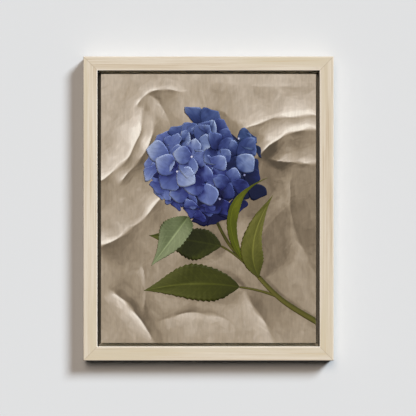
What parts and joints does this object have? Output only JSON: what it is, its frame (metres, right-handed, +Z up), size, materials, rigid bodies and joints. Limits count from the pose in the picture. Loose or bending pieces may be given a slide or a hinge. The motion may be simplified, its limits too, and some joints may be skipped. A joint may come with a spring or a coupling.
{
  "type": "framed canvas picture",
  "caption": "Stretched canvas picture with a painted flower still life, held in a pale wooden floater frame and hung flat on a wall.",
  "frame": {"origin": "the point on the wall plane, on the picture's centre line, where the wall nail meets the teeth of the sawtooth hanger", "axes": "+Z up, -Y out of the wall towards the viewer (the painted face looks along -Y), +X to the viewer's right; the wall is the plane y = 0"},
  "size_m": [0.4724, 0.039, 0.574],
  "materials": {
    "frame_wood": "pale natural wood, clear matt finish, black stained rebate",
    "bar_wood": "raw planed pine",
    "cloth": "primed cotton canvas, raw on the back",
    "paint": "brushed acrylic paint, satin",
    "steel": "zinc plated",
    "felt": "dense felt"
  },
  "bodies": {
    "root": {"canvas": "cloth", "corner_key_bottom_1": "bar_wood", "corner_key_bottom_2": "bar_wood", "corner_key_left_1": "bar_wood", "corner_key_left_2": "bar_wood", "corner_key_right_1": "bar_wood", "corner_key_right_2": "bar_wood", "corner_key_top_1": "bar_wood", "corner_key_top_2": "bar_wood", "fixing_screw_bottom_1": "steel", "fixing_screw_bottom_2": "steel", "fixing_screw_left_1": "steel", "fixing_screw_left_2": "steel", "fixing_screw_right_1": "steel", "fixing_screw_right_2": "steel", "fixing_screw_top_1": "steel", "fixing_screw_top_2": "steel", "frame_rail_bottom": "frame_wood", "frame_rail_left": "frame_wood", "frame_rail_right": "frame_wood", "frame_rail_top": "frame_wood", "hanger_nail_left": "steel", "hanger_nail_right": "steel", "mitre_nail_bottom_left": "steel", "mitre_nail_bottom_right": "steel", "mitre_nail_top_left": "steel", "mitre_nail_top_right": "steel", "paint_layer": "paint", "sawtooth_hanger": "steel", "staple_bottom_1": "steel", "staple_bottom_2": "steel", "staple_bottom_3": "steel", "staple_bottom_4": "steel", "staple_bottom_5": "steel", "staple_left_1": "steel", "staple_left_2": "steel", "staple_left_3": "steel", "staple_left_4": "steel", "staple_left_5": "steel", "staple_left_6": "steel", "staple_right_1": "steel", "staple_right_2": "steel", "staple_right_3": "steel", "staple_right_4": "steel", "staple_right_5": "steel", "staple_right_6": "steel", "staple_top_1": "steel", "staple_top_2": "steel", "staple_top_3": "steel", "staple_top_4": "steel", "staple_top_5": "steel", "stretcher_bar_bottom": "bar_wood", "stretcher_bar_left": "bar_wood", "stretcher_bar_right": "bar_wood", "stretcher_bar_top": "bar_wood", "wall_pad_left": "felt", "wall_pad_right": "felt"}
  },
  "joints": []
}
